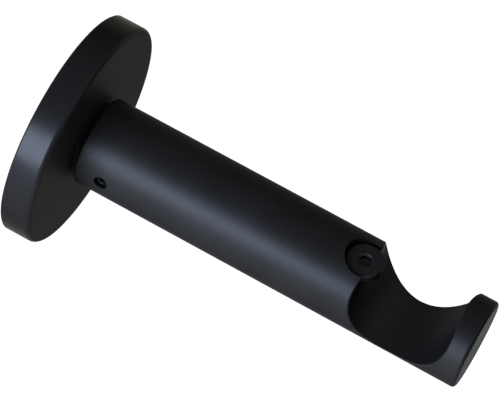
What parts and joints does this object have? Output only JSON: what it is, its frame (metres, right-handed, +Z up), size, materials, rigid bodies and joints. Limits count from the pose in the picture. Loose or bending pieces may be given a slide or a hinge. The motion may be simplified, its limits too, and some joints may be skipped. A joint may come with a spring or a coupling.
{
  "type": "curtain pole bracket",
  "caption": "Straight curtain pole bracket: a round bar arm on a round wall rose, with an open round cradle across its outer end and a sunk screw beside it that holds the pole.",
  "frame": {"origin": "centre of the wall face, on the arm's axis", "axes": "+X out from the wall along the arm, +Y along the curtain pole, +Z up, the way the cradle opens"},
  "size_m": [0.1, 0.0516, 0.0516],
  "materials": {
    "plate_zinc": "zinc-plated steel, turned",
    "rose_coat": "satin black coating",
    "arm_coat": "satin black coating",
    "grub_steel": "blackened steel",
    "screw_steel": "blackened steel"
  },
  "bodies": {
    "root": {"wall_plate": "plate_zinc", "rose": "rose_coat", "arm": "arm_coat", "grub_screw": "grub_steel", "pole_screw": "screw_steel"}
  },
  "joints": []
}
